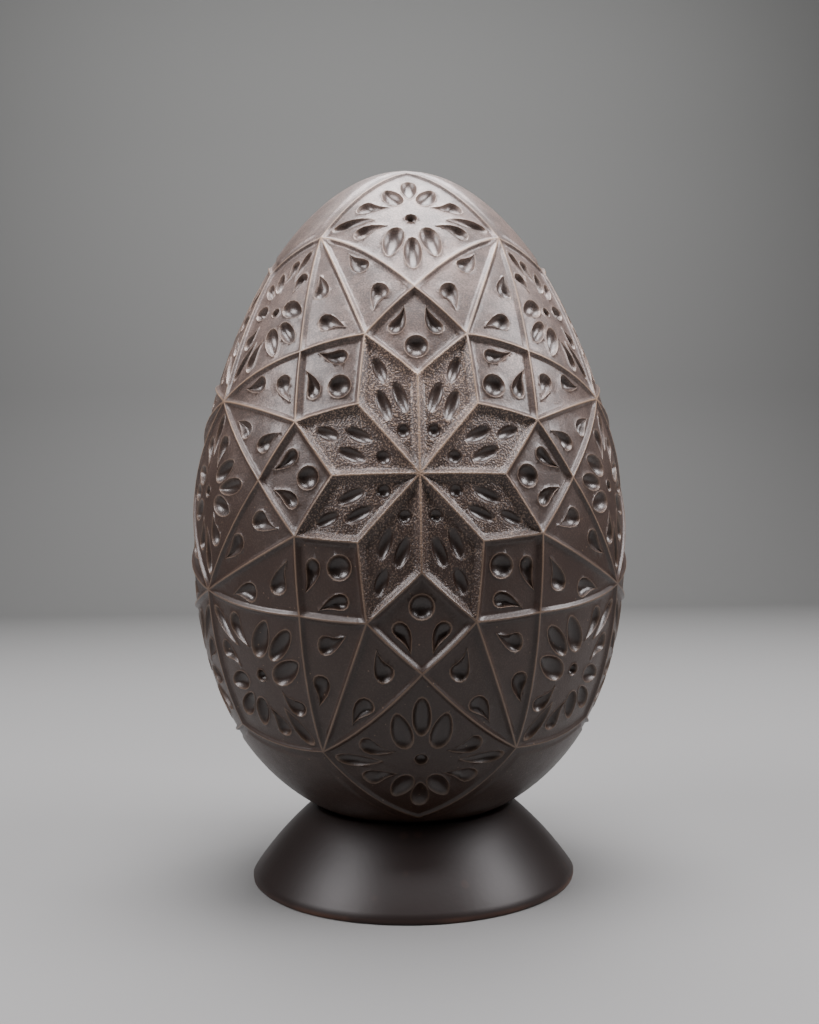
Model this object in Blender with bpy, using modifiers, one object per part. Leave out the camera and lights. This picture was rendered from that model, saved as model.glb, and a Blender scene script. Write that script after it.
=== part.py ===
"""Moulded chocolate egg with a star and flower relief, standing on a low round chocolate foot.

Metres, +Z up. The origin is on the ground under the middle of the foot. The first of the three
stars faces -Y. The egg's relief is a net of raised ridges: inside each mesh of the net the
chocolate is sunk, and round and drop-shaped hollows are cut into the sunk floors.
"""
import math

import bmesh
import bpy
from mathutils import Matrix, Vector

# Egg: half its height, and the radius and taper terms of its outline
eggHalfHeight = 0.0750
eggRadius = 0.04896
eggTaper = (0.161, 0.0325, -0.0235)

# Foot: a low flared ring of chocolate with a cup for the egg
footRadius = 0.0372
footEdgeHeight = 0.0009
footSeatRadius = 0.0234
footHeight = 0.0160
footSwell = 0.0007
footLip = 0.0012
eggLift = 0.0858
seatGap = 0.0003
turnSteps = 48

# Relief: the width of a ridge's slope, the depth of the sunk floors, and the polar panels' border
ridgeSlope = 0.0013
floorDepth = 0.00095
panelGroove = 0.0016
panelRise = 0.0007
netCuts = 2
sharpAngle = math.radians(35)

# The star's rings of points, as (latitude, turn) in degrees for the eight directions of the star,
# from straight up round its right half to straight down. The left half mirrors them.
starCentre = (1.7, 0.0)
innerTips = ((16.2, 0.0), (12.0, 14.1), (1.7, 19.5), (-7.9, 13.6), (-12.3, 0.0))
notches = ((23.1, 13.3), (10.0, 29.7), (-6.8, 28.4), (-19.7, 12.1))
outerTips = ((31.5, 0.0), (21.2, 31.1), (1.7, 39.1), (-18.6, 27.9), (-27.8, 0.0))
corners = ((44.9, 36.5), (15.4, 60.0), (-14.8, 60.0), (-43.1, 28.3))
topApex = (70.0, 0.0)
bottomApex = (-64.0, 0.0)
topValley = (39.5, 60.0)
bottomValley = (-39.5, 60.0)
starCount = 3

# Hollows in the sunk floors, as (where, towards, half length, half width). Both places are shares
# along the two sides of the cell that meet at its first corner.
hollowDepth = 0.0018
hollowBase = 0.6
hollowSides = 6
cutterRise = 0.0003
cellMiddle = (0.5, 0.5)
hollows = {
    "kite": (((0.59, 0.32), (0.69, 0.42), 0.0034, 0.0014), ((0.32, 0.59), (0.42, 0.69), 0.0034, 0.0014)),
    "square": (((0.31, 0.31), cellMiddle, 0.0027, 0.0027),),
    "flower": (((0.25, 0.25), cellMiddle, 0.0044, 0.0026), ((0.76, 0.76), cellMiddle, 0.0040, 0.0025)),
}

chocolateLook = {"color": (0.105, 0.066, 0.046, 1.0), "rough": 0.36, "metal": 0.25}
footLook = {"color": (0.030, 0.016, 0.012, 1.0), "rough": 0.34, "metal": 0.0}


def clear_scene():
    for item in list(bpy.data.objects):
        bpy.data.objects.remove(item, do_unlink=True)


def new_collection(name):
    group = bpy.data.collections.new(name)
    bpy.context.scene.collection.children.link(group)
    return group


def chocolate(name, look):
    material = bpy.data.materials.new(name)
    material.use_nodes = True
    shader = material.node_tree.nodes["Principled BSDF"]
    shader.inputs["Base Color"].default_value = look["color"]
    shader.inputs["Roughness"].default_value = look["rough"]
    shader.inputs["Metallic"].default_value = look["metal"]
    return material


def outline(angle):
    """Radius and height of the egg's outline at an angle from its top, about its middle."""
    cosine = math.cos(angle)
    slim, full, tip = eggTaper
    swell = 1 - slim * cosine + full * cosine ** 2 + tip * cosine ** 3
    return eggRadius * math.sin(angle) * swell, eggHalfHeight * cosine


def egg_point(latitude, turn):
    radius, height = outline(math.radians(90 - latitude))
    around = math.radians(turn)
    return Vector((radius * math.sin(around), -radius * math.cos(around), height))


def onto_egg(point):
    """The egg's surface along the ray from its middle through the point."""
    flat = math.hypot(point.x, point.y)
    low, high = 0.0, math.pi
    for _ in range(40):
        middle = (low + high) / 2
        radius, height = outline(middle)
        if math.atan2(radius, height) < math.atan2(flat, point.z):
            low = middle
        else:
            high = middle
    radius, height = outline((low + high) / 2)
    if flat < 1e-7:
        return Vector((0, 0, height))
    return Vector((point.x * radius / flat, point.y * radius / flat, height))


def star_points(star):
    """The star's four rings of eight points, each ring starting straight up and running right."""
    middle = star * 360 / starCount

    def ring(right, closed):
        left = [(lat, -turn) for lat, turn in reversed(right)]
        if closed:
            left = left[1:-1]
        return [egg_point(lat, turn + middle) for lat, turn in list(right) + left]

    rings = {"centre": egg_point(starCentre[0], starCentre[1] + middle)}
    rings["tip"] = ring(innerTips, True)
    rings["notch"] = ring(notches, False)
    rings["outer"] = ring(outerTips, True)
    rings["corner"] = ring(corners, False)
    for name, (lat, turn) in (("topApex", topApex), ("bottomApex", bottomApex),
                              ("topValley", topValley), ("bottomValley", bottomValley)):
        rings[name] = egg_point(lat, turn + middle)
        rings[name + "Left"] = egg_point(lat, middle - turn)
    return rings


def star_cells(star):
    """The cells of the net that belong to one star, as lists of corner points by kind."""
    point = star_points(star)
    tip, notch, outer, corner = (point[name] for name in ("tip", "notch", "outer", "corner"))
    cells = {"kite": [], "square": [], "triangle": [], "flower": [], "topPanel": [], "bottomPanel": []}
    for k in range(8):
        before, after = (k - 1) % 8, (k + 1) % 8
        cells["kite"].append((point["centre"], tip[k], notch[k], tip[after]))
        cells["square"].append((tip[k], notch[before], outer[k], notch[k]))
        cells["triangle"].append((notch[k], outer[k], corner[k]))
        cells["triangle"].append((notch[k], corner[k], outer[after]))
    nextStar = star_points(star + 1)
    far = {0: point["topApex"], 1: point["topValley"], 2: nextStar["outer"][6],
           3: point["bottomValley"], 4: point["bottomApex"],
           5: point["bottomValleyLeft"], 7: point["topValleyLeft"]}
    for k, end in far.items():
        cells["flower"].append((outer[k], corner[k - 1], end, corner[k]))
    for panel, pole, apex, valley, sides in (
            ("topPanel", 0, "topApex", "topValley", (0, 7)),
            ("bottomPanel", 180, "bottomApex", "bottomValley", (3, 4))):
        end = egg_point(90 - pole, 0)
        cells[panel].append((end, point[apex], corner[sides[0]], point[valley]))
        cells[panel].append((end, point[apex], corner[sides[1]], point[valley + "Left"]))
    return cells


def net_mesh():
    """One closed skin of all cells, and the kind, corners and faces of each cell."""
    skin = bmesh.new()
    tag = skin.faces.layers.int.new("cell")
    cells = []
    for star in range(starCount):
        for kind, shapes in star_cells(star).items():
            for shape in shapes:
                face = skin.faces.new([skin.verts.new(place) for place in shape])
                face[tag] = len(cells)
                cells.append({"kind": kind, "corners": shape, "faces": []})
    bmesh.ops.remove_doubles(skin, verts=skin.verts, dist=0.000001)
    bmesh.ops.recalc_face_normals(skin, faces=skin.faces)
    bmesh.ops.subdivide_edges(skin, edges=skin.edges[:], cuts=netCuts, use_grid_fill=True)
    for vert in skin.verts:
        vert.co = onto_egg(vert.co)
    skin.normal_update()
    for face in skin.faces:
        cells[face[tag]]["faces"].append(face)
    return skin, cells


def inset(skin, faces, thickness, depth):
    bmesh.ops.inset_region(skin, faces=faces, thickness=thickness, depth=depth,
                           use_even_offset=True, use_boundary=True)


def sink_cells(skin, cells):
    """Sinks the floor of every cell, which leaves the net of ridges standing between them."""
    for cell in cells:
        if "Panel" not in cell["kind"]:
            inset(skin, cell["faces"], ridgeSlope, -floorDepth)
    for kind in ("topPanel", "bottomPanel"):
        faces = [face for cell in cells if cell["kind"] == kind for face in cell["faces"]]
        inset(skin, faces, ridgeSlope, -floorDepth)
        inset(skin, faces, panelGroove, 0.0)
        inset(skin, faces, ridgeSlope, panelRise)


def cell_spot(corners, share):
    """The place in a four-sided cell at a share along each of its sides from the first corner."""
    s, t = share
    first, side, across, otherSide = corners
    return onto_egg(first * (1 - s) * (1 - t) + side * s * (1 - t) + across * s * t + otherSide * (1 - s) * t)


def add_cutter(tool, corners, spot, towards, halfLength, halfWidth):
    """A tapering plug, long in one direction, from just above a cell's floor down into it."""
    place = cell_spot(corners, spot)
    outward = place.normalized()
    along = cell_spot(corners, towards) - place
    along = (along - outward * along.dot(outward)).normalized()
    across = outward.cross(along)
    middle = place + outward * ((cutterRise - hollowDepth) / 2 - floorDepth)
    frame = Matrix((along * halfLength, across * halfWidth, outward)).transposed().to_4x4()
    bmesh.ops.create_cone(tool, cap_ends=True, cap_tris=True, segments=hollowSides,
                          radius1=hollowBase, radius2=1, depth=hollowDepth + cutterRise,
                          matrix=Matrix.Translation(middle) @ frame)


def make_cutter(group, cells):
    tool = bmesh.new()
    for cell in cells:
        for hollow in hollows.get(cell["kind"], ()):
            add_cutter(tool, cell["corners"], *hollow)
    bmesh.ops.recalc_face_normals(tool, faces=tool.faces)
    mesh = bpy.data.meshes.new("hollowCutter")
    tool.to_mesh(mesh)
    tool.free()
    cutter = bpy.data.objects.new("hollowCutter", mesh)
    group.objects.link(cutter)
    cutter.location.z = eggLift
    cutter.hide_render = True
    cutter.display_type = "WIRE"
    return cutter


def make_egg(group, cutterGroup, material):
    skin, cells = net_mesh()
    sink_cells(skin, cells)
    mesh = bpy.data.meshes.new("egg")
    skin.to_mesh(mesh)
    skin.free()
    egg = bpy.data.objects.new("egg", mesh)
    group.objects.link(egg)
    egg.location.z = eggLift
    mesh.materials.append(material)
    mesh.shade_smooth()
    mesh.set_sharp_from_angle(angle=sharpAngle)
    cut = egg.modifiers.new("hollows", "BOOLEAN")
    cut.operation = "DIFFERENCE"
    cut.solver = "EXACT"
    cut.object = make_cutter(cutterGroup, cells)
    return egg


def foot_profile():
    """Half section of the foot, from the middle of its cup out over the lip and down to the ground."""
    points = []
    cupSteps = 4
    for step in range(cupSteps + 1):
        radius = (footSeatRadius - footLip) * step / cupSteps
        points.append((radius, cup_height(radius)))
    innerEdge = Vector((footSeatRadius, footHeight))
    outerEdge = Vector((footRadius, footEdgeHeight))
    points.append((footSeatRadius - footLip * 0.4, footHeight + footLip * 0.12))
    flankSteps = 5
    middle = (innerEdge + outerEdge) / 2
    normal = Vector((innerEdge.y - outerEdge.y, outerEdge.x - innerEdge.x)).normalized()
    bend = middle + normal * footSwell * 2
    for step in range(flankSteps + 1):
        share = step / flankSteps
        spot = innerEdge * (1 - share) ** 2 + bend * 2 * share * (1 - share) + outerEdge * share ** 2
        points.append(tuple(spot))
    points += [(footRadius, 0.0), (0.0, 0.0)]
    return points


def cup_height(radius):
    """Height of the cup at a radius: the egg's outline, kept the seat's gap below it."""
    low, high = math.pi * 0.75, math.pi
    for _ in range(40):
        middle = (low + high) / 2
        if outline(middle)[0] > radius:
            low = middle
        else:
            high = middle
    return outline(high)[1] + eggLift - seatGap


def make_foot(group, material):
    points = foot_profile()
    mesh = bpy.data.meshes.new("foot")
    places = [(radius, 0, height) for radius, height in points]
    mesh.from_pydata(places, [(i, i + 1) for i in range(len(places) - 1)], [])
    foot = bpy.data.objects.new("foot", mesh)
    group.objects.link(foot)
    turn = foot.modifiers.new("turn", "SCREW")
    turn.axis = "Z"
    turn.angle = math.tau
    turn.steps = turn.render_steps = turnSteps
    turn.use_merge_vertices = True
    turn.merge_threshold = 0.00001
    turn.use_smooth_shade = True
    mesh.materials.append(material)
    return foot


clear_scene()
parts = new_collection("chocolateEgg")
cutters = new_collection("cutters")
make_egg(parts, cutters, chocolate("eggChocolate", chocolateLook))
make_foot(parts, chocolate("footChocolate", footLook))
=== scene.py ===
# Moulded chocolate egg with a star and flower relief, on its low round chocolate foot
import math
from collections import Counter

import bpy
from mathutils import Matrix, Vector, noise


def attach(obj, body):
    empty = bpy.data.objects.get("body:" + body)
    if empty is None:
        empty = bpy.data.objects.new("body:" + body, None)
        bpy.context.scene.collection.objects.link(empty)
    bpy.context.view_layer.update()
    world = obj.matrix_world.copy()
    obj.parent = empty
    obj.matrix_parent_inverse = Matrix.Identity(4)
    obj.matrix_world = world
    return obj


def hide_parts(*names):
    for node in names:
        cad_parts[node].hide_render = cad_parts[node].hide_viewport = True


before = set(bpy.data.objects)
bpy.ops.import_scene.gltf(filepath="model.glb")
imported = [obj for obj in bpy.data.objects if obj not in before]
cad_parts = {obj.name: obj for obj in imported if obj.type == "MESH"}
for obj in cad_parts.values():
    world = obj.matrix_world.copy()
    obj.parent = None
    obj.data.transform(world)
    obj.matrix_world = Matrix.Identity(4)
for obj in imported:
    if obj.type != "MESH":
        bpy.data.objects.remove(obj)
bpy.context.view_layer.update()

millimetre = 0.001

# lengths too small to divide by
tiny = {
    "fromAxis": 1e-5,
    "side": 1e-4,
    "sideSquared": 1e-9,
}

# the egg is worked out in millimetres about its own middle
eggForm = {
    "halfHeight": 75.0,
    "radius": 48.96,
    "taper": (0.161, 0.0325, -0.0235),
    "lift": 85.8,  # from the ground to the egg's middle
    "stars": 3,
    "searchSteps": 34,
    "slopeStep": 0.001,
    "mergeDistance": 0.00002,  # metres, as the egg has its final size by then
    "floorShading": 50,  # how far the large faces rule the shading
}

# the star's rings of points as (latitude, turn) in degrees,
# from straight up round the right half to straight down
starNet = {
    "centre": (1.7, 0.0),
    "tip": ((16.2, 0.0), (12.0, 14.1), (1.7, 19.5), (-7.9, 13.6), (-12.3, 0.0)),
    "notch": ((23.1, 13.3), (10.0, 29.7), (-6.8, 28.4), (-19.7, 12.1)),
    "outer": ((31.5, 0.0), (21.2, 31.1), (1.7, 39.1), (-18.6, 27.9), (-27.8, 0.0)),
    "corner": ((44.9, 36.5), (15.4, 60.0), (-14.8, 60.0), (-43.1, 28.3)),
    "topApex": (70.0, 0.0),
    "bottomApex": (-64.0, 0.0),
    "topValley": (39.5, 60.0),
    "bottomValley": (-39.5, 60.0),
}

# each step down from a ridge's crest to the floor of a cell: (width, drop)
ridge = {
    "kite": ((0.20, -0.05), (0.36, -0.42), (0.42, -0.48), (0.40, -0.22)),
    "square": ((0.20, -0.05), (0.30, -0.36), (0.32, -0.36), (0.28, -0.14)),
    "triangle": ((0.20, -0.05), (0.24, -0.26), (0.26, -0.24), (0.24, -0.08)),
    "flower": ((0.20, -0.05), (0.24, -0.26), (0.26, -0.24), (0.24, -0.08)),
    "panel": ((0.20, -0.05), (0.30, -0.22), (0.34, -0.22), (0.34, -0.07),
              (1.90, -0.001), (0.40, 0.10), (0.50, 0.16), (0.40, 0.04)),
    "cuts": 7,
    "sameHeight": 0.0002,
    "panelFloor": (-0.2, -0.8),  # below the first height, a panel's looks take the second or deeper
    "floorGrid": 2.1,  # spacing of the cuts that let a floor bend with the egg
    "gridSnap": 0.12,
}

# a cup has a thin raised rim, a dent has none; rings are (share of the outline, height)
hollowForm = {
    "steps": 16,
    "cup": {"rings": ((1.04, 0.12), (0.98, 0.05), (0.88, -0.44), (0.62, -1.00)), "middle": -1.26},
    "dent": {"rings": ((1.02, -0.06), (0.89, -0.27), (0.66, -0.60)), "middle": -0.86},
    "outline": 1.09,
    "middleReach": (0.15, 0.01),  # how near the poked point lies to the axis and to the last ring's height
    "rimHeight": 0.02,
    "drop": (0.14, 0.9),  # width at the pointed end, and what the whole is divided by
    "petal": (0.55, 0.5),  # width at the pointed end, and what the round end adds
    "neck": -0.5,  # where a comma's round head passes into its tail
    "taper": 1.10,
    "bend": 0.75,
    "bendFrom": -0.35,
    "headBend": 0.2,
    "bendShift": 0.25,
    "tailRise": 0.80,
    "tailFrom": -0.4,
    "tailLength": 1.3,
    "depthWidth": 1.5,  # a hollow's share of the full depth is its half width over this, plus the next
    "leastDepth": 0.15,
}

# hollows of each kind of cell: (shape, round end, tail end, half width). The ends are shares along the two
# sides that meet at the cell's first corner, or shares of a triangle's three corners
hollows = {
    "kite": (
        ("dent", (0.60, 0.60), (0.80, 0.80), 1.32),
        ("dent", (0.50, 0.225), (0.71, 0.43), 1.32),
        ("dent", (0.225, 0.50), (0.43, 0.71), 1.32),
        ("roundDent", (0.25, 0.25), (0.30, 0.30), 1.5),
    ),
    "square": (
        ("round", (0.330, 0.330), (0.5, 0.5), 2.40),
        ("commaLeft", (0.815, 0.19), (0.82, 0.73), 1.95),
        ("comma", (0.19, 0.815), (0.73, 0.82), 1.95),
    ),
    "triangle": (
        ("commaLeft", (0.155, 0.47, 0.375), (0.26, 0.15, 0.59), 1.9),
        ("comma", (0.245, 0.605, 0.15), (0.65, 0.19, 0.16), 1.9),
    ),
    "flower": (
        ("round", (0.445, 0.445), (0.5, 0.5), 1.35),
        ("oval", (0.10, 0.10), (0.32, 0.32), 2.2),
        ("petal", (0.46, 0.325), (0.31, 0.055), 2.75),
        ("petal", (0.325, 0.46), (0.055, 0.31), 2.75),
        ("comma", (0.65, 0.065), (0.60, 0.29), 1.8),
        ("commaLeft", (0.065, 0.65), (0.29, 0.60), 1.8),
        ("drop", (0.95, 0.09), (0.66, 0.28), 1.5),
        ("drop", (0.09, 0.95), (0.28, 0.66), 1.5),
        ("commaLeft", (0.905, 0.375), (0.665, 0.36), 1.95),
        ("comma", (0.375, 0.905), (0.36, 0.665), 1.95),
        ("petal", (0.61, 0.50), (0.87, 0.61), 2.25),
        ("petal", (0.50, 0.61), (0.61, 0.87), 2.25),
        ("petal", (0.84, 0.84), (0.61, 0.61), 2.05),
    ),
}

# the stock hollow that each shape is a copy of
stockShape = {
    "oval": "oval", "round": "oval", "drop": "drop", "petal": "petal",
    "comma": "comma", "commaLeft": "comma", "dent": "dent", "roundDent": "dent",
}

# how hollows that lie too near each other, or to a floor's edge, give way
spacing = {
    "passes": 24,
    "clear": 0.04,
    "moveIn": 0.02,
    "shorten": 0.975,
    "narrow": 0.97,
}


def outline(angle):
    # radius and height of the egg, by the angle down from its top
    cosine = math.cos(angle)
    slim, full, tip = eggForm["taper"]
    swell = 1 - slim * cosine + full * cosine ** 2 + tip * cosine ** 3
    return eggForm["radius"] * math.sin(angle) * swell, eggForm["halfHeight"] * cosine


def eggPoint(latitude, turn):
    radius, height = outline(math.radians(90 - latitude))
    around = math.radians(turn)
    return Vector((radius * math.sin(around), -radius * math.cos(around), height))


def ontoEgg(point):
    # the egg's surface along the ray from its middle, and the way out of it there
    flat = math.hypot(point.x, point.y)
    if flat < tiny["fromAxis"]:
        up = 1 if point.z > 0 else -1
        return Vector((0, 0, up * eggForm["halfHeight"])), Vector((0, 0, up))
    wanted = math.atan2(flat, point.z)
    low, high = 0.0, math.pi
    for _ in range(eggForm["searchSteps"]):
        middle = (low + high) / 2
        radius, height = outline(middle)
        if math.atan2(radius, height) < wanted:
            low = middle
        else:
            high = middle
    middle = (low + high) / 2
    radius, height = outline(middle)
    nextRadius, nextHeight = outline(middle + eggForm["slopeStep"])
    lastRadius, lastHeight = outline(middle - eggForm["slopeStep"])
    way = Vector((point.x / flat, point.y / flat, 0))
    outward = way * (lastHeight - nextHeight) + Vector((0, 0, nextRadius - lastRadius))
    return way * radius + Vector((0, 0, height)), outward.normalized()


def starPoints(star):
    middle = star * 360 / eggForm["stars"]

    def ring(name, closed):
        right = list(starNet[name])
        left = [(lat, -turn) for lat, turn in reversed(right)]
        if closed:
            left = left[1:-1]
        return [eggPoint(lat, turn + middle) for lat, turn in right + left]

    points = {"centre": eggPoint(starNet["centre"][0], starNet["centre"][1] + middle)}
    for name, closed in (("tip", True), ("notch", False), ("outer", True), ("corner", False)):
        points[name] = ring(name, closed)
    for name in ("topApex", "bottomApex", "topValley", "bottomValley"):
        lat, turn = starNet[name]
        points[name] = eggPoint(lat, turn + middle)
        points[name + "Left"] = eggPoint(lat, middle - turn)
    return points


def starCells():
    # the cells of the first star: (kind, corners)
    point, nextStar = starPoints(0), starPoints(1)
    tip, notch, outer, corner = (point[name] for name in ("tip", "notch", "outer", "corner"))
    cells = []
    for k in range(len(tip)):
        before, after = k - 1, (k + 1) % len(tip)
        cells.append(("kite", (point["centre"], tip[k], notch[k], tip[after])))
        cells.append(("square", (tip[k], notch[before], outer[k], notch[k])))
        cells.append(("triangle", (notch[k], outer[k], corner[k])))
        cells.append(("triangle", (notch[k], outer[after], corner[k])))
    # the far corner of the flower cell over each outer point; the net shares the cell over point 6 with the
    # star before, whose own cell over point 2 makes it
    far = {0: point["topApex"], 1: point["topValley"], 2: nextStar["outer"][6],
           3: point["bottomValley"], 4: point["bottomApex"],
           5: point["bottomValleyLeft"], 7: point["topValleyLeft"]}
    for k, end in far.items():
        cells.append(("flower", (outer[k], corner[k - 1], end, corner[k])))
    return cells


def panelCorners(apex, corner, valley):
    # a panel's outline: each star's apex, its corner, the valley, and the next star's corner
    starTurn = 360 / eggForm["stars"]
    lobe = (apex, corner, valley, (corner[0], starTurn - corner[1]))
    return [eggPoint(lat, turn + star * starTurn) for star in range(eggForm["stars"]) for lat, turn in lobe]


def chartOf(corners):
    # a flat sheet that touches the egg over the middle of a cell
    middle, outward = ontoEgg(sum(corners, Vector()) / len(corners))
    side = Vector((0, 0, 1)).cross(outward)
    side = side.normalized() if side.length > tiny["side"] else Vector((1, 0, 0))
    return {"middle": middle, "outward": outward, "side": side, "up": outward.cross(side)}


def toChart(chart, point):
    share = chart["middle"].dot(chart["outward"]) / point.dot(chart["outward"])
    place = point * share - chart["middle"]
    return Vector((place.dot(chart["side"]), place.dot(chart["up"])))


def fromChart(chart, place):
    # a place on the sheet, with its height standing out of the egg
    spot = chart["middle"] + chart["side"] * place.x + chart["up"] * place.y
    onEgg, outward = ontoEgg(spot)
    return onEgg + outward * place.z


def signedArea(loop):
    # above zero where the loop runs anticlockwise
    return sum(a.x * b.y - a.y * b.x for a, b in zip(loop, loop[1:] + loop[:1])) / 2


def editing(piece):
    bpy.ops.object.select_all(action="DESELECT")
    bpy.context.view_layer.objects.active = piece
    piece.select_set(True)
    bpy.ops.object.mode_set(mode="EDIT")
    bpy.ops.mesh.select_mode(type="EDGE")


def doneEditing():
    bpy.ops.object.mode_set(mode="OBJECT")


def selectEdges(piece, wanted):
    # selects the edges that pass a test of their two ends and their key, and nothing else
    verts = piece.data.vertices
    for part in (*verts, *piece.data.polygons):
        part.select = False
    for edge in piece.data.edges:
        first, second = (verts[index].co for index in edge.vertices)
        edge.select = wanted(first, second, edge.key)


def faceOutward(piece):
    editing(piece)
    bpy.ops.mesh.select_all(action="SELECT")
    bpy.ops.mesh.normals_make_consistent(inside=False)
    doneEditing()


def copyOf(piece):
    copy = piece.copy()
    copy.data = piece.data.copy()
    bpy.context.collection.objects.link(copy)
    return copy


def joined(pieces):
    bpy.ops.object.select_all(action="DESELECT")
    for piece in pieces:
        piece.select_set(True)
    bpy.context.view_layer.objects.active = pieces[0]
    bpy.ops.object.join()
    return pieces[0]


def nextRing(last, ring):
    # extrudes what is selected from one (width, height) to the next
    bpy.ops.mesh.extrude_region_move(TRANSFORM_OT_translate={"value": (0, 0, ring[1] - last[1])})
    ratio = ring[0] / last[0]
    bpy.ops.transform.resize(value=(ratio, ratio, 1), center_override=(0, 0, 0))


def shapeSpot(shape, turn):
    # the outline of a hollow that is one unit long and wide each way, its tail towards +X
    form = hollowForm
    x, y = math.cos(turn), math.sin(turn)
    if shape in ("oval", "dent"):
        return x, y
    if shape == "drop":
        point, whole = form["drop"]
        y *= (point + math.sin(turn / 2)) / whole
    elif shape == "petal":
        point, swell = form["petal"]
        y *= point + swell * math.sin(turn / 2)
    else:
        # a comma: a round head, and a tail that thins and bends to one side
        neck = form["neck"]
        if x < neck:
            width = math.sqrt(max(0.0, 1 - ((x - neck) / (1 + neck)) ** 2))
        else:
            along = (x - neck) / (1 - neck)
            width = max(0.0, math.cos(along * math.pi / 2)) ** form["taper"]
        lean = (x - form["bendFrom"]) ** 2 * (1.0 if x > form["bendFrom"] else form["headBend"])
        y = math.copysign(width, y) + form["bend"] * (lean - form["bendShift"])
    return x, y


def makeHollow(shape):
    # one stock hollow, which each cell copies and stretches
    form = hollowForm["dent" if shape == "dent" else "cup"]
    bpy.ops.object.select_all(action="DESELECT")
    bpy.ops.mesh.primitive_circle_add(vertices=hollowForm["steps"], radius=1, fill_type="NOTHING")
    hollow = bpy.context.object
    hollow.name = shape + "Hollow"
    for index, vert in enumerate(hollow.data.vertices):
        x, y = shapeSpot(shape, math.tau * index / hollowForm["steps"])
        vert.co = (x * hollowForm["outline"], y * hollowForm["outline"], 0)
    editing(hollow)
    bpy.ops.mesh.select_all(action="SELECT")
    last = (hollowForm["outline"], 0.0)
    for ring in form["rings"]:
        nextRing(last, ring)
        last = ring
    bpy.ops.mesh.edge_face_add()
    bpy.ops.mesh.poke()
    doneEditing()
    nearAxis, nearRing = hollowForm["middleReach"]
    for vert in hollow.data.vertices:
        if math.hypot(vert.co.x, vert.co.y) < nearAxis and abs(vert.co.z - last[1]) < nearRing:
            vert.co.z = form["middle"]
        if shape in ("drop", "comma") and vert.co.z < 0:
            along = (vert.co.x - hollowForm["tailFrom"]) / hollowForm["tailLength"]
            vert.co.z *= 1 - hollowForm["tailRise"] * max(0.0, min(1.0, along))
    rim = hollow.data.attributes.new("rim", "FLOAT", "POINT")
    for index, vert in enumerate(hollow.data.vertices):
        rim.data[index].value = 1.0 if vert.co.z > hollowForm["rimHeight"] else 0.0
    return hollow


def hollowIn(flat, scale, shape, roundEnd, tailEnd, halfWidth):
    # a hollow's place in a cell's chart; a cell that runs the other way round mirrors it
    start, end = cellSpot(flat, roundEnd), cellSpot(flat, tailEnd)
    if signedArea(flat) < 0 and "comma" in shape:
        shape = "comma" if shape == "commaLeft" else "commaLeft"
    hollow = {"shape": shape, "along": (end - start).normalized(), "halfWidth": halfWidth * scale}
    isRound = shape in ("round", "roundDent")
    hollow["middle"] = start if isRound else (start + end) / 2
    hollow["halfLength"] = hollow["halfWidth"] if isRound else (end - start).length / 2
    return hollow


def hollowPlace(hollow, x, y):
    along = hollow["along"]
    across = Vector((-along.y, along.x))
    if hollow["shape"] == "commaLeft":
        across = -across
    return hollow["middle"] + along * (x * hollow["halfLength"]) + across * (y * hollow["halfWidth"])


def placeHollow(stock, hollow, floor):
    copy = copyOf(stock[stockShape[hollow["shape"]]])
    depth = min(1.0, hollow["halfWidth"] / hollowForm["depthWidth"] + hollowForm["leastDepth"])
    for vert in copy.data.vertices:
        x, y, height = vert.co
        spot = hollowPlace(hollow, x, y)
        if height < 0:
            height *= depth
        vert.co = (spot.x, spot.y, floor + height)
    return copy


def hollowEdge(hollow):
    places = []
    shape = stockShape[hollow["shape"]]
    for index in range(hollowForm["steps"]):
        x, y = shapeSpot(shape, math.tau * index / hollowForm["steps"])
        places.append(hollowPlace(hollow, x * hollowForm["outline"], y * hollowForm["outline"]))
    return places


def edgeDistance(place, loop):
    # distance to a closed outline, below zero inside it
    best, inside = math.inf, False
    for start, end in zip(loop, loop[1:] + loop[:1]):
        side = end - start
        share = max(0.0, min(1.0, (place - start).dot(side) / max(side.length_squared, tiny["sideSquared"])))
        best = min(best, (place - start - side * share).length)
        if (start.y > place.y) != (end.y > place.y):
            if place.x < start.x + (place.y - start.y) * side.x / side.y:
                inside = not inside
    return -best if inside else best


def spaceHollows(placed, floorLoop):
    # hollows that come too near to each other or to the floor's edge are made a little smaller,
    # and those at the edge also move in
    clear = spacing["clear"]
    floorMiddle = sum(floorLoop, Vector((0, 0))) / len(floorLoop)
    for _ in range(spacing["passes"]):
        edges = [hollowEdge(hollow) for hollow in placed]
        tight = set()
        for index, edge in enumerate(edges):
            if any(-edgeDistance(place, floorLoop) < clear for place in edge):
                tight.add(index)
                placed[index]["middle"] += (floorMiddle - placed[index]["middle"]) * spacing["moveIn"]
            for other, otherEdge in enumerate(edges):
                if other != index and any(edgeDistance(place, otherEdge) < clear for place in edge):
                    tight.update((index, other))
        if not tight:
            return
        for index in tight:
            placed[index]["halfLength"] *= spacing["shorten"]
            placed[index]["halfWidth"] *= spacing["narrow"]
    print("tight hollows left", len(tight))


def cellSpot(corners, share):
    if len(corners) == 3:
        return sum((corner * part for corner, part in zip(corners, share)), Vector((0, 0)))
    s, t = share
    first, side, across, otherSide = corners
    return first * (1 - s) * (1 - t) + side * s * (1 - t) + across * s * t + otherSide * (1 - s) * t


def cellSheet(kind, loop):
    # the cell's outline as one flat face that looks up, left in edit mode and selected
    bpy.ops.object.select_all(action="DESELECT")
    bpy.ops.mesh.primitive_circle_add(vertices=len(loop), radius=1, fill_type="NGON")
    tile = bpy.context.object
    tile.name = kind + "Tile"
    face = tile.data.polygons[0]
    looksDown = face.normal.z < 0
    order = list(face.vertices)[::-1] if looksDown else list(face.vertices)
    for index, place in zip(order, loop):
        tile.data.vertices[index].co = (place.x, place.y, 0)
    editing(tile)
    bpy.ops.mesh.select_all(action="SELECT")
    if looksDown:
        bpy.ops.mesh.flip_normals()
    return tile


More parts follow.
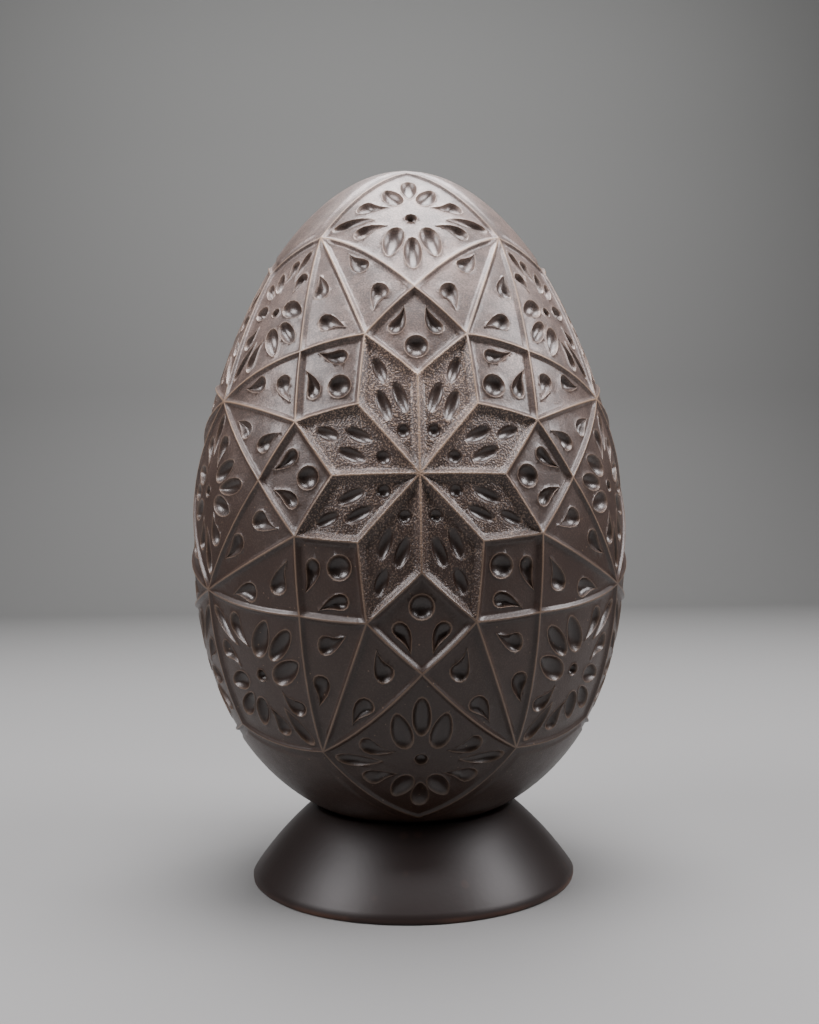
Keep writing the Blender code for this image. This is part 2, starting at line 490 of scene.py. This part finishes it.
def fillFloor(tile, flat, height):
    # closes the floor round its hollows, and cuts it up so that it can follow the egg
    uses = Counter(key for face in tile.data.polygons for key in face.edge_keys)
    same = ridge["sameHeight"]
    selectEdges(tile, lambda first, second, key:
                uses[key] < 2 and abs(first.z - height) < same and abs(second.z - height) < same)
    editing(tile)
    bpy.ops.mesh.fill(use_beauty=True)
    bpy.ops.mesh.select_mode(type="FACE")
    bpy.ops.mesh.hide(unselected=True)
    for axis in (0, 1):
        values = [place[axis] for place in flat]
        least, reach = min(values), max(values) - min(values)
        count = int(reach / ridge["floorGrid"])
        way = [0.0, 0.0, 0.0]
        way[axis] = 1.0
        for index in range(1, count + 1):
            cut = [0.0, 0.0, 0.0]
            cut[axis] = least + reach * index / (count + 1)
            bpy.ops.mesh.select_all(action="SELECT")
            bpy.ops.mesh.bisect(plane_co=cut, plane_no=way, threshold=ridge["gridSnap"])
    bpy.ops.mesh.select_all(action="SELECT")
    bpy.ops.mesh.quads_convert_to_tris(quad_method="BEAUTY", ngon_method="BEAUTY")
    bpy.ops.mesh.beautify_fill()
    bpy.ops.mesh.reveal()
    doneEditing()


def makeTile(kind, corners, stock):
    # a cell is shaped flat, with the egg's surface at height 0, and then wrapped onto the egg
    chart = chartOf(corners)
    flat = [toChart(chart, corner) for corner in corners]
    tile = cellSheet(kind, flat if signedArea(flat) > 0 else flat[::-1])
    floor = 0.0
    for width, drop in ridge[kind]:
        bpy.ops.mesh.inset(thickness=width, depth=drop, use_even_offset=True, use_boundary=True)
        floor += drop
    bpy.ops.mesh.delete(type="ONLY_FACE")
    doneEditing()
    same = ridge["sameHeight"]
    floorLoop = [vert.co.to_2d() for vert in tile.data.vertices if abs(vert.co.z - floor) < same]
    floorMiddle = sum(floorLoop, Vector((0, 0))) / len(floorLoop)
    floorLoop.sort(key=lambda place: math.atan2(place.y - floorMiddle.y, place.x - floorMiddle.x))
    selectEdges(tile, lambda first, second, key: abs(first.z - second.z) < same)
    editing(tile)
    bpy.ops.mesh.subdivide(number_cuts=ridge["cuts"])
    doneEditing()
    if kind in hollows:
        scale = math.sqrt(abs(signedArea(flat)) / cellArea[kind])
        placed = [hollowIn(flat, scale, *hollow) for hollow in hollows[kind]]
        spaceHollows(placed, floorLoop)
        joined([tile] + [placeHollow(stock, hollow, floor) for hollow in placed])
    fillFloor(tile, flat, floor)
    wrapTile(tile, kind, chart, corners)
    return tile


def wrapTile(tile, kind, chart, corners):
    # bends the flat tile onto the egg; along its border both neighbours use the same places
    steps = ridge["cuts"] + 1
    sides = list(zip(corners, list(corners[1:]) + [corners[0]]))
    flatSides = [(toChart(chart, start), toChart(chart, end)) for start, end in sides]
    panelFrom, panelDepth = ridge["panelFloor"]
    relief = tile.data.attributes.new("relief", "FLOAT", "POINT")
    sandy = tile.data.attributes.new("sandy", "FLOAT", "POINT")
    for index, vert in enumerate(tile.data.vertices):
        height = vert.co.z
        onPanel = kind == "panel" and height < panelFrom
        relief.data[index].value = min(height, panelDepth) if onPanel else height
        sandy.data[index].value = 1.0 if kind == "kite" else 0.0
        if abs(height) > ridge["sameHeight"]:
            vert.co = fromChart(chart, vert.co)
            continue
        flat = vert.co.to_2d()
        nearest, place = math.inf, None
        for (start, end), (flatStart, flatEnd) in zip(sides, flatSides):
            side = flatEnd - flatStart
            share = max(0.0, min(1.0, (flat - flatStart).dot(side) / side.length_squared))
            away = (flat - flatStart - side * share).length
            if away < nearest:
                nearest, place = away, start.lerp(end, round(share * steps) / steps)
        vert.co = ontoEgg(place)[0]


def makeEgg():
    stock = {shape: makeHollow(shape) for shape in dict.fromkeys(stockShape.values())}
    tiles = [makeTile(kind, corners, stock) for kind, corners in starCells()]
    print("cells of one star:", len(tiles))
    star = joined(tiles)
    pieces = [star]
    for number in range(1, eggForm["stars"]):
        copy = copyOf(star)
        copy.data.transform(Matrix.Rotation(math.tau * number / eggForm["stars"], 4, "Z"))
        pieces.append(copy)
    for apex, corner, valley in (("topApex", starNet["corner"][0], "topValley"),
                                 ("bottomApex", starNet["corner"][-1], "bottomValley")):
        corners = panelCorners(starNet[apex], corner, starNet[valley])
        pieces.append(makeTile("panel", corners, stock))
    for piece in stock.values():
        bpy.data.objects.remove(piece, do_unlink=True)
    egg = joined(pieces)
    egg.name = "mouldedEgg"
    egg.data.transform(Matrix.Scale(millimetre, 4))
    egg.data.transform(Matrix.Translation((0, 0, eggForm["lift"] * millimetre)))
    editing(egg)
    bpy.ops.mesh.select_all(action="SELECT")
    bpy.ops.mesh.remove_doubles(threshold=eggForm["mergeDistance"])
    doneEditing()
    faceOutward(egg)
    egg.data.shade_smooth()
    # the floors of the cells keep their own shading right up to the rims
    weighted = egg.modifiers.new("floorShading", "WEIGHTED_NORMAL")
    weighted.mode = "FACE_AREA"
    weighted.weight = eggForm["floorShading"]
    bpy.ops.object.select_all(action="DESELECT")
    bpy.context.view_layer.objects.active = egg
    egg.select_set(True)
    bpy.ops.object.modifier_apply(modifier=weighted.name)
    return egg


# the area of the first cell of each kind, against which the others' hollows are scaled
cellArea = {}
for kind, corners in starCells():
    if kind not in cellArea:
        chart = chartOf(corners)
        cellArea[kind] = abs(signedArea([toChart(chart, corner) for corner in corners]))
print("cell areas", {kind: round(value) for kind, value in cellArea.items()})
egg = makeEgg()
print("egg triangles:", sum(len(face.vertices) - 2 for face in egg.data.polygons))
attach(egg, "root")
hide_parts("egg")

# millimetres and degrees, but for shares and counts
footForm = {
    "radius": 37.2,
    "edge": ((0.25, 0.0), (0.04, 0.25), (0.0, 0.55)),  # (inwards from the radius, height)
    "edgeHeight": 0.9,
    "seatRadius": 23.4,
    "height": 16.0,
    "swell": 0.7,
    "flankSteps": 14,
    "lip": 1.2,
    "lipRings": ((0.25, 0.14), (0.6, 0.02)),  # (inwards, up) as shares of the lip
    "cupRings": (1.0, 0.8, 0.55, 0.3, 0.1),  # shares of the cup's radius
    "seatGap": 0.3,
    "seatSearch": 0.75,  # the seat lies on the egg's outline between this share of the half turn and its end
    "around": 144,
    "smoothAngle": 50,
    "rimWaver": 0.12,
    "waverReach": (1.5, 2.5),  # how far in and how far up the rim wavers
    "waverLevel": 0.6,
    "broadWaver": (4, 1.7),  # (how closely it wavers, where in the noise it starts)
    "fineWaver": (13, 5.1),
    "fineShare": 0.6,
}


def cupHeight(radius):
    # the egg's outline over a radius, with the seat's gap under it
    low, high = math.pi * footForm["seatSearch"], math.pi
    for _ in range(eggForm["searchSteps"]):
        middle = (low + high) / 2
        if outline(middle)[0] > radius:
            low = middle
        else:
            high = middle
    return outline(high)[1] + eggForm["lift"] - footForm["seatGap"]


def footRings():
    # (radius, height) of each ring, from the ground edge up over the lip and into the cup
    form = footForm
    inner, outer = Vector((form["seatRadius"], form["height"])), Vector((form["radius"], form["edgeHeight"]))
    normal = Vector((inner.y - outer.y, outer.x - inner.x)).normalized()
    bend = (inner + outer) / 2 + normal * form["swell"] * 2
    rings = [(form["radius"] - inwards, height) for inwards, height in form["edge"]]
    for step in range(form["flankSteps"] + 1):
        share = step / form["flankSteps"]
        spot = outer * (1 - share) ** 2 + bend * 2 * share * (1 - share) + inner * share ** 2
        rings.append((spot.x, spot.y))
    for inwards, up in form["lipRings"]:
        rings.append((form["seatRadius"] - form["lip"] * inwards, form["height"] + form["lip"] * up))
    for share in form["cupRings"]:
        radius = (form["seatRadius"] - form["lip"]) * share
        rings.append((radius, cupHeight(radius)))
    return rings


def wave(turn, closeness, start):
    return noise.noise(Vector((math.cos(turn) * closeness, math.sin(turn) * closeness, start)))


def waverRim(foot):
    # the thin rim wavers a little where it was trimmed by hand
    form = footForm
    reachIn, reachUp = form["waverReach"]
    for vert in foot.data.vertices:
        away = math.hypot(vert.co.x, vert.co.y)
        if away > form["radius"] - reachIn:
            turn = math.atan2(vert.co.y, vert.co.x)
            waver = wave(turn, *form["broadWaver"]) + form["fineShare"] * wave(turn, *form["fineWaver"])
            fade = max(0.0, 1 - vert.co.z / reachUp)
            change = 1 - form["rimWaver"] * (form["waverLevel"] + waver) / away * fade
            vert.co.x *= change
            vert.co.y *= change


def makeFoot():
    rings = footRings()
    bpy.ops.object.select_all(action="DESELECT")
    bpy.ops.mesh.primitive_circle_add(vertices=footForm["around"], radius=rings[0][0], fill_type="NGON")
    foot = bpy.context.object
    foot.name = "pouredFoot"
    editing(foot)
    bpy.ops.mesh.select_all(action="SELECT")
    for last, ring in zip(rings, rings[1:]):
        nextRing(last, ring)
    bpy.ops.mesh.poke()
    doneEditing()
    waverRim(foot)
    faceOutward(foot)
    foot.data.transform(Matrix.Scale(millimetre, 4))
    bpy.ops.object.shade_smooth_by_angle(angle=math.radians(footForm["smoothAngle"]))
    return foot


foot = makeFoot()
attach(foot, "root")
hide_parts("foot")
print("foot triangles:", sum(len(face.vertices) - 2 for face in foot.data.polygons))

# a span is (from, to) and, where it doesn't run from 0 to 1, its values there; a gain is (times, plus)
eggLook = {
    "paintedHollowShade": (0.013, 0.006, 0.004, 1),
    "chocolate": (0.024, 0.0112, 0.0070, 1),
    "bronze": (0.150, 0.106, 0.090, 1),
    # used for the crests' and the rims' painted highlight, and for the lustre flecks
    "crest": (0.25, 0.165, 0.110, 1),
    "sandAndGlint": (0.36, 0.25, 0.18, 1),
    "grainScale": 3000,
    "fleckScale": 1900,
    "fewFlecks": 0.985,
    "sandySpan": (-1.55, -1.22),  # relief in millimetres, here and in the next two
    "crestSpan": (-0.11, -0.01),
    "hollowSpan": (-1.0, -1.7),
    # painted light: these three make the bronze, the crests' painted highlight and the pale grains lighter
    # towards the top
    "paintedSheenTall": (0.070, 0.124, 0.06, 1.4),  # heights in metres, here and in the next two
    "crestTall": (0.070, 0.0992, 0.45, 1.0),
    "glintTall": (0.070, 0.10912, 0.30, 1.0),
    "patchSpan": (0.36, 0.64),
    "patchGain": (0.55, 0.35),
    "speckSpan": (0.75, 1.10),
    "speckGain": (0.7, 0.35),
    "highlightPatchSpan": (0.30, 0.55, 0.55, 1.0),
    "sandSpan": (0.52, 0.66),
    "sandGain": (0.9, 0.1),
    "sandShare": 0.80,
    "hollowShadeShare": 0.5,
    "fleckShare": 0.4,
    "rimShare": 0.3,
    "metalGain": (0.25, 0.02),
    "roughSpan": (0.6, 1.2, 0.49, 0.39),
    "hollowSmooth": 0.10,
    "coatGain": (0.15, 0.15),
    "coatRoughness": 0.22,
    "bumpGain": (0.8, 0.2),
    "bumpStrength": 0.8,
    "bumpDistance": 0.00022,
}
footLook = {
    "colour": (0.0135, 0.0085, 0.0075, 1),
    "wearAndHighlight": (0.085, 0.040, 0.026, 1),
    "grainScale": 900,
    "fleckScale": 330.0,
    "fewFlecks": 0.93,
    "fleckShare": 0.12,
    "rimSpan": (0.0013, 0.00052),  # heights in metres
    "chipSpan": (0.45, 0.62, 0.15, 1.0),
    "roughSpan": (0.3, 0.7, 0.40, 0.46),
    "specular": 0.3,
    "bumpStrength": 0.08,
    "bumpDistance": 0.0002,
}
grainLook = {
    "detail": 3.0,
    "fine": (1.0, 0.5),  # detail and roughness
    "wideScale": 0.13,
    "wideShare": 0.8,
    "patchScale": 0.035,
}
fleckEdge = (0.38, 0.22)  # from a fleck's rim to its full brightness


class Nodes:
    # a short way to add nodes and join them
    def __init__(self, tree):
        self.tree = tree

    def add(self, kind, inputs=None, **settings):
        node = self.tree.nodes.new(kind)
        for name, value in settings.items():
            setattr(node, name, value)
        for name, value in (inputs or {}).items():
            self.set(node.inputs[name], value)
        return node

    def set(self, socket, value):
        if isinstance(value, bpy.types.NodeSocket):
            self.tree.links.new(value, socket)
        else:
            socket.default_value = value

    def place(self):
        return self.add("ShaderNodeTexCoord").outputs["Object"]

    def attribute(self, name):
        return self.add("ShaderNodeAttribute", attribute_name=name).outputs["Fac"]

    def height(self, place):
        return self.add("ShaderNodeSeparateXYZ", {"Vector": place}).outputs["Z"]

    def noise(self, place, scale, detail, rough=0.55):
        inputs = {"Vector": place, "Scale": scale, "Detail": detail, "Roughness": rough}
        return self.add("ShaderNodeTexNoise", inputs).outputs["Fac"]

    def span(self, value, low, high, start=0.0, end=1.0):
        inputs = {"Value": value, "From Min": low, "From Max": high, "To Min": start, "To Max": end}
        return self.add("ShaderNodeMapRange", inputs).outputs["Result"]

    def maths(self, operation, first, second):
        node = self.add("ShaderNodeMath", operation=operation)
        self.set(node.inputs[0], first)
        self.set(node.inputs[1], second)
        return node.outputs[0]

    def times(self, first, second):
        return self.maths("MULTIPLY", first, second)

    def gain(self, value, factor, base):
        return self.maths("ADD", self.times(value, factor), base)

    def blend(self, share, first, second):
        # the mix node's sockets share their names, so its two colours and its result go by number
        node = self.add("ShaderNodeMix", data_type="RGBA")
        self.set(node.inputs["Factor"], share)
        self.set(node.inputs[6], first)
        self.set(node.inputs[7], second)
        return node.outputs[2]

    def group(self, group, **inputs):
        node = self.add("ShaderNodeGroup")
        node.node_tree = group
        for name, value in inputs.items():
            self.set(node.inputs[name], value)
        return node

    def bump(self, look, height):
        inputs = {"Strength": look["bumpStrength"], "Distance": look["bumpDistance"], "Height": height}
        return self.add("ShaderNodeBump", inputs).outputs["Normal"]


def newGroup(name, inputs, outputs):
    group = bpy.data.node_groups.new(name, "ShaderNodeTree")
    for label, kind in inputs:
        group.interface.new_socket(name=label, in_out="INPUT", socket_type=kind)
    for label, kind in outputs:
        group.interface.new_socket(name=label, in_out="OUTPUT", socket_type=kind)
    nodes = Nodes(group)
    return group, nodes, nodes.add("NodeGroupInput"), nodes.add("NodeGroupOutput")


def grainGroup():
    # the fine sandy cast of moulded chocolate, with a slow waver under it
    look = grainLook
    group, nodes, start, end = newGroup(
        "castGrain", (("Place", "NodeSocketVector"), ("Scale", "NodeSocketFloat")),
        (("Fine", "NodeSocketFloat"), ("Height", "NodeSocketFloat"), ("Patches", "NodeSocketFloat")))
    place, scale = start.outputs["Place"], start.outputs["Scale"]
    fine = nodes.noise(place, scale, *look["fine"])
    wide = nodes.noise(place, nodes.times(scale, look["wideScale"]), look["detail"])
    nodes.set(end.inputs["Fine"], fine)
    nodes.set(end.inputs["Height"], nodes.maths("ADD", fine, nodes.times(wide, look["wideShare"])))
    patches = nodes.noise(place, nodes.times(scale, look["patchScale"]), look["detail"])
    nodes.set(end.inputs["Patches"], patches)
    return group


def fleckGroup():
    # scattered bright flecks of lustre powder
    group, nodes, start, end = newGroup(
        "lustreFlecks",
        (("Place", "NodeSocketVector"), ("Scale", "NodeSocketFloat"), ("Few", "NodeSocketFloat")),
        (("Mask", "NodeSocketFloat"),))
    place, scale = start.outputs["Place"], start.outputs["Scale"]
    cells = nodes.add("ShaderNodeTexVoronoi", {"Vector": place, "Scale": scale})
    parts = nodes.add("ShaderNodeSeparateColor", {"Color": cells.outputs["Color"]})
    chosen = nodes.maths("GREATER_THAN", parts.outputs["Red"], start.outputs["Few"])
    near = nodes.span(cells.outputs["Distance"], *fleckEdge)
    nodes.set(end.inputs["Mask"], nodes.times(chosen, near))
    return group


castGrain, lustreFlecks = grainGroup(), fleckGroup()


def newMaterial(name):
    material = bpy.data.materials.new(name)
    material.use_nodes = True
    shader = material.node_tree.nodes["Principled BSDF"]
    return material, Nodes(material.node_tree), shader


def eggMaterial():
    look = eggLook
    material, nodes, shader = newMaterial("bronzedChocolate")
    place = nodes.place()
    relief = nodes.attribute("relief")
    sandy = nodes.times(nodes.attribute("sandy"), nodes.span(relief, *look["sandySpan"]))
    grain = nodes.group(castGrain, Place=place, Scale=look["grainScale"])
    flecks = nodes.group(lustreFlecks, Place=place, Scale=look["fleckScale"], Few=look["fewFlecks"])
    fine, uneven, broad = (grain.outputs[name] for name in ("Fine", "Height", "Patches"))
    # bronze dust lies in patches and specks; it is also painted thicker towards the top, as a painted sheen
    # from the light above
    patches = nodes.span(broad, *look["patchSpan"])
    specks = nodes.span(uneven, *look["speckSpan"])
    dustAndSheen = nodes.times(nodes.gain(patches, *look["patchGain"]), nodes.gain(specks, *look["speckGain"]))
    tall = nodes.height(place)
    # painted sheen: the bronze grows towards the top
    dustAndSheen = nodes.times(dustAndSheen, nodes.span(tall, *look["paintedSheenTall"]))
    # the ridges' crests are painted lighter in patches, a painted highlight that grows towards the top
    crest = nodes.times(nodes.span(relief, *look["crestSpan"]), nodes.span(tall, *look["crestTall"]))
    wearAndHighlight = nodes.times(crest, nodes.span(broad, *look["highlightPatchSpan"]))
    hollow = nodes.span(relief, *look["hollowSpan"])
    colour = nodes.blend(dustAndSheen, look["chocolate"], look["bronze"])
    # pale grains like sand, most of all on the floors of the kites; partly painted glints, painted brighter
    # towards the top
    bright = nodes.times(nodes.span(fine, *look["sandSpan"]), nodes.gain(sandy, *look["sandGain"]))
    # painted light: the grains are painted brighter towards the top
    bright = nodes.times(bright, nodes.span(tall, *look["glintTall"]))
    colour = nodes.blend(nodes.times(bright, look["sandShare"]), colour, look["sandAndGlint"])
    # painted shade: the hollows are painted darker
    colour = nodes.blend(nodes.times(hollow, look["hollowShadeShare"]), colour, look["paintedHollowShade"])
    # painted highlight on the crests
    colour = nodes.blend(wearAndHighlight, colour, look["crest"])
    colour = nodes.blend(nodes.times(flecks.outputs["Mask"], look["fleckShare"]), colour, look["crest"])
    # painted highlight: the hollows' raised rims are painted lighter
    rim = nodes.attribute("rim")
    colour = nodes.blend(nodes.times(rim, look["rimShare"]), colour, look["crest"])
    nodes.set(shader.inputs["Base Color"], colour)
    nodes.set(shader.inputs["Metallic"], nodes.gain(dustAndSheen, *look["metalGain"]))
    rough = nodes.span(uneven, *look["roughSpan"])
    smoother = nodes.times(hollow, look["hollowSmooth"])
    nodes.set(shader.inputs["Roughness"], nodes.maths("SUBTRACT", rough, smoother))
    nodes.set(shader.inputs["Coat Weight"], nodes.gain(hollow, *look["coatGain"]))
    shader.inputs["Coat Roughness"].default_value = look["coatRoughness"]
    height = nodes.times(fine, nodes.gain(sandy, *look["bumpGain"]))
    nodes.set(shader.inputs["Normal"], nodes.bump(look, height))
    return material


def footMaterial():
    look = footLook
    material, nodes, shader = newMaterial("plainDarkChocolate")
    place = nodes.place()
    grain = nodes.group(castGrain, Place=place, Scale=look["grainScale"])
    flecks = nodes.group(lustreFlecks, Place=place, Scale=look["fleckScale"], Few=look["fewFlecks"])
    broad = grain.outputs["Patches"]
    # the rim is chipped and worn in places
    rim = nodes.span(nodes.height(place), *look["rimSpan"])
    chips = nodes.times(rim, nodes.span(broad, *look["chipSpan"]))
    colour = nodes.blend(chips, look["colour"], look["wearAndHighlight"])
    colour = nodes.blend(nodes.times(flecks.outputs["Mask"], look["fleckShare"]), colour, look["wearAndHighlight"])
    nodes.set(shader.inputs["Base Color"], colour)
    nodes.set(shader.inputs["Roughness"], nodes.span(broad, *look["roughSpan"]))
    shader.inputs["Specular IOR Level"].default_value = look["specular"]
    nodes.set(shader.inputs["Normal"], nodes.bump(look, grain.outputs["Height"]))
    return material


egg.data.materials.clear()
egg.data.materials.append(eggMaterial())
foot.data.materials.clear()
foot.data.materials.append(footMaterial())
print("materials ready")

# metres and degrees, with the lens and the sensor in millimetres
studio = {
    "camera": (-0.01036, -0.22556, 0.0718),
    "pitch": 1.37,
    "turn": -2.63,
    "roll": -0.80,
    "lens": 33.93,
    "sensor": 36,
    "shift": 0.0713,
    "clipStart": 0.01,
    "floorSize": 2.4,
    "sweepRadius": 0.4,
    "sweepSteps": 16,
    "wallHeight": 1.4,
    "floorColour": (0.160, 0.160, 0.157, 1),
    "floorRoughness": 0.7,
    "airColour": (0.8, 0.82, 0.82, 1),
    "airStrength": 0.07,
}


def floorMaterial():
    material, _, shader = newMaterial("paleFloor")
    shader.inputs["Base Color"].default_value = studio["floorColour"]
    shader.inputs["Roughness"].default_value = studio["floorRoughness"]
    return material


def makeFloor():
    # a floor that sweeps up into a wall behind the egg
    bpy.ops.object.select_all(action="DESELECT")
    bpy.ops.mesh.primitive_plane_add(size=studio["floorSize"], location=(0, 0, 0))
    floor = bpy.context.object
    floor.name = "studioFloor"
    selectEdges(floor, lambda first, second, key: first.y > 0 and second.y > 0)
    editing(floor)
    centre = (0, studio["floorSize"] / 2, studio["sweepRadius"])
    bpy.ops.mesh.spin(steps=studio["sweepSteps"], angle=math.radians(-90), center=centre, axis=(1, 0, 0))
    bpy.ops.mesh.extrude_region_move(TRANSFORM_OT_translate={"value": (0, 0, studio["wallHeight"])})
    doneEditing()
    floor.data.shade_smooth()
    floor.data.materials.append(floorMaterial())
    return floor


floor = makeFloor()

softWhite, plainWhite = (1.0, 0.975, 1.0), (1, 1, 1)

# (name, place, target, size, power, colour)
lamps = (
    ("leftSoftbox", (-0.66, -0.24, 0.66), (0, 0, 0.09), (0.48, 0.40), 9.5, softWhite),
    ("rightSoftbox", (0.70, -0.17, 0.66), (0, 0, 0.09), (0.48, 0.40), 10.5, softWhite),
    ("middleSoftbox", (0.03, 0.02, 0.88), (0.03, 0.02, 0), (0.50, 0.80), 21.5, softWhite),
    ("backdropLight", (0, 0.75, 1.20), (0, 1.60, 0.30), (1.6, 0.4), 17.0, plainWhite),
)


def areaLight(name, place, target, size, power, colour):
    data = bpy.data.lights.new(name, "AREA")
    data.shape = "RECTANGLE"
    data.size, data.size_y = size
    data.energy = power
    data.color = colour
    light = bpy.data.objects.new(name, data)
    bpy.context.collection.objects.link(light)
    light.location = place
    light.rotation_euler = (Vector(target) - Vector(place)).to_track_quat("-Z", "Y").to_euler()


for lamp in lamps:
    areaLight(*lamp)

world = bpy.data.worlds.new("studioAir")
bpy.context.scene.world = world
world.use_nodes = True
air = world.node_tree.nodes["Background"]
air.inputs["Color"].default_value = studio["airColour"]
air.inputs["Strength"].default_value = studio["airStrength"]

cameraData = bpy.data.cameras.new("camera")
camera = bpy.data.objects.new("camera", cameraData)
bpy.context.collection.objects.link(camera)
camera.location = studio["camera"]
cameraData.sensor_fit = "VERTICAL"
cameraData.sensor_height = studio["sensor"]
cameraData.lens = studio["lens"]
cameraData.shift_y = studio["shift"]
aim = (Matrix.Rotation(math.radians(studio["turn"]), 4, "Z")
       @ Matrix.Rotation(math.radians(90 - studio["pitch"]), 4, "X")
       @ Matrix.Rotation(math.radians(studio["roll"]), 4, "Z"))
camera.rotation_euler = aim.to_euler()
cameraData.clip_start = studio["clipStart"]
bpy.context.scene.camera = camera
print("studio ready")
